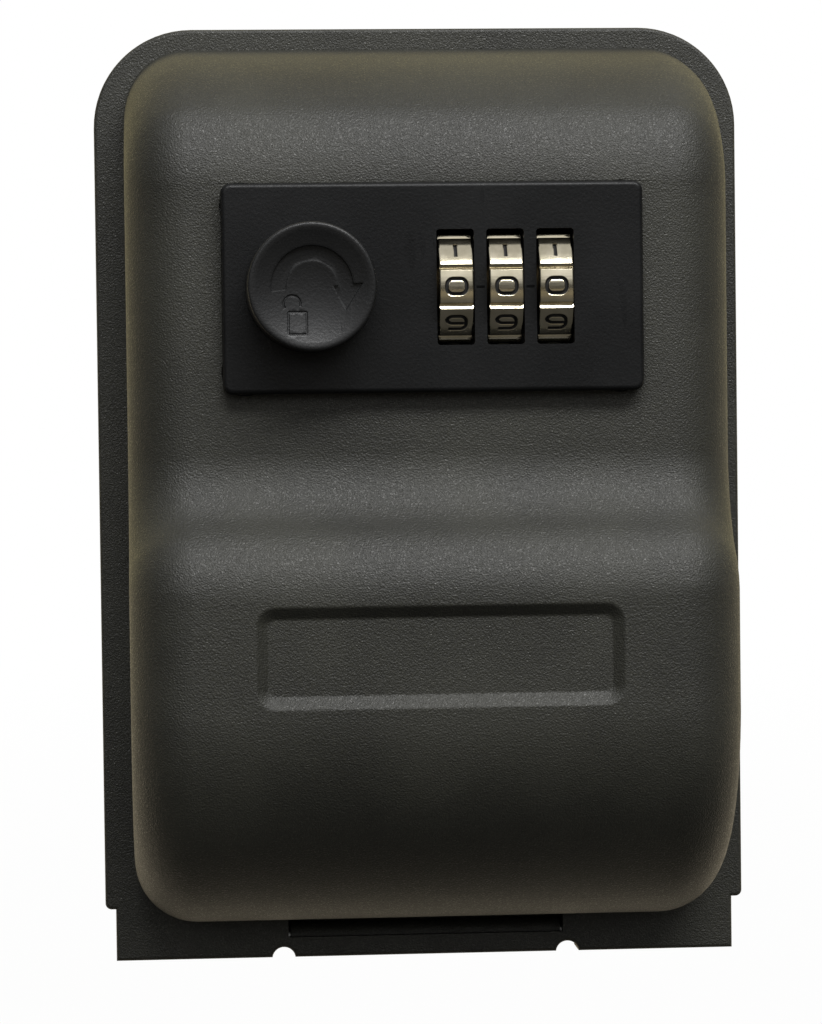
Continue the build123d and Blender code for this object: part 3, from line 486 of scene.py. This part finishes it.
door_shell = joined_copy("door_shell", "door_cover")
for point in door_shell.data.vertices:
    share = min(1, max(0, (point.co.z - crown_start) / (crown_full - crown_start)))
    point.co.z += crown_lift * share**2 * (3 - 2 * share)
set_material(door_shell, coat)
smooth(door_shell, 30)
modifier(door_shell, "WEIGHTED_NORMAL", weight=100, keep_sharp=True)
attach(door_shell, "door")
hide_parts("door_cover")


# Knob: a moulded black plastic disc with a dished face inside a thin rim, pressed on the spindle. A
# curved arrow is sunk in the dish, and an open padlock is cut in outline beside it.
knob_centre = Vector((-0.01505, 0, 0.0258))
knob_radius = 0.00775
knob_taper = 0.00013
knob_front = 0.0394
knob_back = 0.0323
knob_dish = 0.0012
knob_rim = 0.0006
knob_rim_round = 0.00035
knob_back_round = 0.0002
knob_socket = 0.0026
knob_socket_depth = 0.009
dish_radius = knob_radius - knob_rim
dish_rings = 14
along_y = (math.pi / 2, 0, 0)
hair = 1e-6

knob_middle = -(knob_front + knob_back) / 2
knob = bar(knob_radius, knob_front - knob_back, along_y, place=(0, knob_middle, 0), sides=128)
knob.name = "turn_knob"
for point in knob.data.vertices:
    if point.co.y > knob_middle:
        reach = 1 + knob_taper / knob_radius
        point.co.x *= reach
        point.co.z *= reach
select_faces(knob, lambda centre, normal: normal.y < -0.99)
bpy.ops.mesh.inset(thickness=knob_rim)
for ring in range(dish_rings):
    outer = 1 - ring / (dish_rings + 1)
    inner = 1 - (ring + 1) / (dish_rings + 1)
    sunk = -knob_dish * (outer**2 - inner**2)
    bpy.ops.mesh.inset(thickness=dish_radius / (dish_rings + 1), depth=sunk)
leave_edit()
outside = dish_radius + knob_rim / 6
select_edges(knob, lambda a, b: max(a.y, b.y) < hair - knob_front and math.hypot(a.x, a.z) > outside)
bpy.ops.mesh.bevel(offset=knob_rim_round, segments=5)
leave_edit()
select_edges(knob, lambda a, b: min(a.y, b.y) > -knob_back - hair)
bpy.ops.mesh.bevel(offset=knob_back_round, segments=2)
leave_edit()
knob_plastic = plastic.copy()
knob_plastic.name = "knob_plastic"
knob_plastic.node_tree.nodes["Principled BSDF"].inputs["Specular IOR Level"].default_value = 0.37
set_material(knob, knob_plastic)

symbol_depth = 0.0004
symbol_start = knob_front + 0.00005
symbol_reach = 0.00135
symbol_lean = 5
symbol_edge = 0.00006
arc_inner = 0.00298
arc_outer = 0.005
head_inner = 0.0024
head_outer = 0.0062
tip_radius = 0.005
arc_start = 188
arc_end = 4
head_tip = -37
lock_left = -0.00288
lock_right = -0.00068
lock_top = -0.00304
lock_bottom = -0.00572
lock_round = 0.00016
lock_line = 0.00015
shackle_x = -0.00241
shackle_z = -0.00205
shackle_radius = 0.00102
shackle_start = 212
shackle_end = -16
shackle_join = 0.0001


def spot(radius, turn, x=0, z=0):
    """A point at a radius and an angle in degrees."""
    return (x + radius * math.cos(math.radians(turn)), z + radius * math.sin(math.radians(turn)))


def arc(radius, start, end, x=0, z=0, steps=40):
    """Points along an arc."""
    return [spot(radius, start + (end - start) * step / steps, x, z) for step in range(steps + 1)]


def symbol(outline):
    """A cutter for a sunk shape, with walls that lean inwards."""
    corners = [(x, -symbol_start, z) for x, z in outline]
    count = len(corners)
    mesh = bpy.data.meshes.new("symbol")
    mesh.from_pydata(corners + corners, [], [range(count), [*reversed(range(count, 2 * count))]])
    piece = new_piece("symbol", mesh)
    select_faces(piece, lambda centre, normal: normal.y > 0.5)
    lean = symbol_reach * math.tan(math.radians(symbol_lean))
    bpy.ops.mesh.inset(thickness=lean, depth=symbol_reach)
    bpy.ops.mesh.select_all(action="SELECT")
    bpy.ops.mesh.remove_doubles(threshold=merge_gap)
    bpy.ops.mesh.normals_make_consistent(inside=False)
    leave_edit()
    return piece


head = [spot(head_outer, arc_end), spot(tip_radius, head_tip), spot(head_inner, arc_end)]
arrow = symbol(arc(arc_outer, arc_start, arc_end) + head + arc(arc_inner, arc_end, arc_start))
floor_of_arrow = new_piece("floor_of_arrow", knob.data.copy())
for point in floor_of_arrow.data.vertices:
    point.co.y += symbol_depth
cut(arrow, floor_of_arrow)
set_material(arrow, knob_plastic)
cut(knob, arrow)
lock_ends = [(lock_left, lock_bottom), (lock_left, lock_top), (lock_right, lock_top), (lock_right, lock_bottom)]
shackle = arc(shackle_radius, shackle_start, shackle_end, shackle_x, shackle_z, steps=12)
for points, rounding, closed in ((lock_ends, lock_round, True), (shackle, shackle_join, False)):
    wire = stroke_path(points, rounding, closed)
    for point in wire.data.vertices:
        out = math.hypot(point.co.x, point.co.z) / dish_radius
        point.co.y = -knob_front + knob_dish * (1 - out**2)
    line = tube(wire, lock_line, "lock_line")
    set_material(line, knob_plastic)
    cut(knob, line)
modifier(knob, "BEVEL", width=symbol_edge, angle_limit=math.radians(45), **sharp)
cut(knob, bar(knob_socket, knob_socket_depth, along_y, place=(0, -knob_back, 0)))
smooth(knob, 28)
for point in knob.data.vertices:
    point.co += knob_centre
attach(knob, "knob")
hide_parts("knob")


# Index marks: short lines on the panel between the wheels, level with the number in use, painted near black as
# painted shade for the shadow in small notches.
mark_xs = [(wheel_xs[0] + wheel_xs[1]) / 2, (wheel_xs[1] + wheel_xs[2]) / 2]
mark_size = (0.001, 0.0001, 0.0003)
mark_round = 0.00003
panel_face = 0.032

marks = []
for mark_x in mark_xs:
    mark = block((mark_x, -panel_face, wheel_height), mark_size)
    modifier(mark, "BEVEL", width=mark_round, segments=2)
    marks.append(mark)
pick(*marks)
bpy.ops.object.join()
index_marks = bpy.context.object
index_marks.name = "index_marks"
# Painted shade: the marks' near black colour stands for the shadow inside small notches.
notch_shade_paint, mark_shader, place = new_material("notch_shade_paint", Specular_IOR_Level=0.08)
feed(
    mark_shader,
    Base_Color=place.noise(2500).mix((0.0012, 0.0012, 0.0012), (0.003, 0.003, 0.003)),
    Roughness=0.7 + place.noise(900) * 0.2,
)
set_material(index_marks, notch_shade_paint)
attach(index_marks, "door")


# Screws: zinc plated steel with round heads and cross recesses. Four close the lock from inside the
# door, two hold the detent spring on its deck, and one holds the key hook in the housing.
lock_screw_xs = (-0.023, 0.023)
lock_screw_zs = (0.0157, 0.0359)
spring_screw_xs = (0.00575, 0.01185)
spring_screw_z = 0.0406
hook_screw_z = 0.0067
wing_span = 1.3
wing_depth = 0.8
wing_width = 0.26
wing_taper = 0.55


def cross_recess(reach, place, facing):
    """A cross cutter with wings that narrow towards their bottom, for a head that faces along Y."""
    wings = []
    for turn in (0, math.pi / 2):
        size = (reach * wing_span, reach * wing_depth, reach * wing_width)
        wing = block(place, size, turn=(0, turn + math.pi / 4, 0))
        for point in wing.data.vertices:
            if (point.co.y - place[1]) * facing < 0:
                point.co.x = place[0] + (point.co.x - place[0]) * wing_taper
                point.co.z = place[2] + (point.co.z - place[2]) * wing_taper
        wings.append(wing)
    return wings


def screws(name, places, head, facing):
    """The CAD screws with cross recesses cut in their heads."""
    piece = joined_copy(name + "_cross", name)
    set_material(piece, steel)
    low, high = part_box(name)
    face = high[1] if facing > 0 else low[1]
    for x, z in places:
        for wing in cross_recess(head, (x, face, z), facing):
            set_material(wing, steel)
            cut(piece, wing)
    smooth(piece, 30)
    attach(piece, "housing" if name == "key_hook_screw" else "door")
    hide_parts(name)


screws("lock_screws", [(x, z) for x in lock_screw_xs for z in lock_screw_zs], head=0.0024, facing=1)
screws("detent_spring_screws", [(x, spring_screw_z) for x in spring_screw_xs], head=0.0017, facing=-1)
screws("key_hook_screw", [(0, hook_screw_z)], head=0.0029, facing=-1)


# Studio: a floor and a surround that the camera, metal and glass see as white, warm where the coat's
# edges mirror them, and one soft lamp in front, above and to the right. The camera stands almost square
# to the wall.
floor_height = -0.13
floor_span = 6
lamp_width = 0.8
lamp_depth = 0.22
lamp_power = 8.6
lamp_place = Vector((0.16, -0.55, 0.64))
lamp_aim = Vector((0, 0, 0.01))
front_light = 1.75
side_light = 0.1
top_light = 0.55
least_light = 0.02
white = (1.0, 1.0, 1.0)
camera_lens = 120.96
camera_place = (-0.03151, -0.45, 0.01207)
camera_right = Vector((0.99759, -0.06821, -0.01235))
camera_up = Vector((0.01453, 0.03154, 0.99940))
camera_back = Vector((-0.06778, -0.99717, 0.03245))

deselect()
bpy.ops.mesh.primitive_plane_add(size=floor_span, location=(0, 0, floor_height))
floor = settle(bpy.context.object)
floor.name = "floor"
floor_paint = bpy.data.materials.new("floor_paint")
floor_paint.use_nodes = True
tree = floor_paint.node_tree
shade = Wire(tree, tree.nodes["Principled BSDF"].outputs[0])
shade.socket.node.inputs["Roughness"].default_value = 0.9
place = Wire(tree, tree.nodes.new("ShaderNodeTexCoord").outputs["Object"])
depth = Wire(tree, place.node("ShaderNodeSeparateXYZ", place).socket.node.outputs["Y"])
rear = depth.step(-0.05, 0.15)
feed(shade.socket.node, Base_Color=rear.mix((0.03, 0.03, 0.03), (0.25, 0.25, 0.25)))
rays = shade.node("ShaderNodeLightPath")
glossy = Wire(tree, rays.socket.node.outputs["Is Glossy Ray"])
clear = Wire(tree, rays.socket.node.outputs["Is Transmission Ray"])
mirrored = rays.math("MAXIMUM", glossy, clear) * rear
far = depth.step(0.1, 1.5)
ahead = (depth * -1).step(0.05, 2.0) * glossy * 0.35
seen = rays.math("MAXIMUM", rays * (0.975 + far * 0.025), mirrored + ahead)
glow = shade.node("ShaderNodeEmission", rays.mix((1.0, 0.86, 0.62), white), 1.0)
mixed = shade.node("ShaderNodeMixShader", seen, shade, glow)
tree.links.new(mixed.socket, tree.nodes["Material Output"].inputs["Surface"])
set_material(floor, floor_paint)

world = bpy.data.worlds.new("surround")
bpy.context.scene.world = world
world.use_nodes = True
tree = world.node_tree
paths = tree.nodes.new("ShaderNodeLightPath")
rays = Wire(tree, paths.outputs["Is Camera Ray"])
glossy = Wire(tree, paths.outputs["Is Glossy Ray"])
clear = Wire(tree, paths.outputs["Is Transmission Ray"])
way = Wire(tree, tree.nodes.new("ShaderNodeTexCoord").outputs["Generated"])
parts = way.node("ShaderNodeSeparateXYZ", way)
side = Wire(tree, parts.socket.node.outputs["X"])
back = Wire(tree, parts.socket.node.outputs["Y"])
up = Wire(tree, parts.socket.node.outputs["Z"])
low = 1 - up.step(0.6, 0.95)
low = low - (up * -1).step(0.3, 0.9)
behind = back.step(0.1, 0.8) * low
front = (back * -1).step(0.5, 0.95) * up.step(-0.02, 0.42)
front = front * (1 - up.step(0.35, 0.65) * 0.85) * front_light
sides = side.math("ABSOLUTE", side).step(0.3, 1.0) * up.step(-0.2, 0.4) * side_light
above = up.step(0.4, 0.85) * top_light
level = behind + front + sides + above + least_light
warm = back.step(0.1, 0.8).mix(white, (1.0, 0.86, 0.5))
settings = {"operation": "MULTIPLY"}
tinted = warm.node("ShaderNodeVectorMath", level.mix((0, 0, 0), white), warm, settings=settings)
mirrored = rays.math("MAXIMUM", glossy, clear) * back.step(0.4, 0.9) * low
seen = rays.mix(mirrored.mix(tinted, (1.0, 0.87, 0.46)), white)
tree.links.new(seen.socket, tree.nodes["Background"].inputs["Color"])

lamp_data = bpy.data.lights.new("softbox", "AREA")
lamp_data.shape = "RECTANGLE"
lamp_data.size = lamp_width
lamp_data.size_y = lamp_depth
lamp_data.energy = lamp_power
lamp = new_piece("softbox", lamp_data)
lamp.location = lamp_place
lamp.rotation_euler = (lamp_aim - lamp.location).to_track_quat("-Z", "Y").to_euler()

camera_data = bpy.data.cameras.new("camera")
camera_data.sensor_fit = "AUTO"
camera_data.sensor_width = 36
camera_data.lens = camera_lens
camera_data.clip_start = 0.01
camera = new_piece("camera", camera_data)
turn = Matrix((camera_right, camera_up, camera_back)).transposed().to_4x4()
camera.matrix_world = Matrix.Translation(camera_place) @ turn
bpy.context.scene.camera = camera
bpy.context.scene.view_settings.view_transform = "Standard"
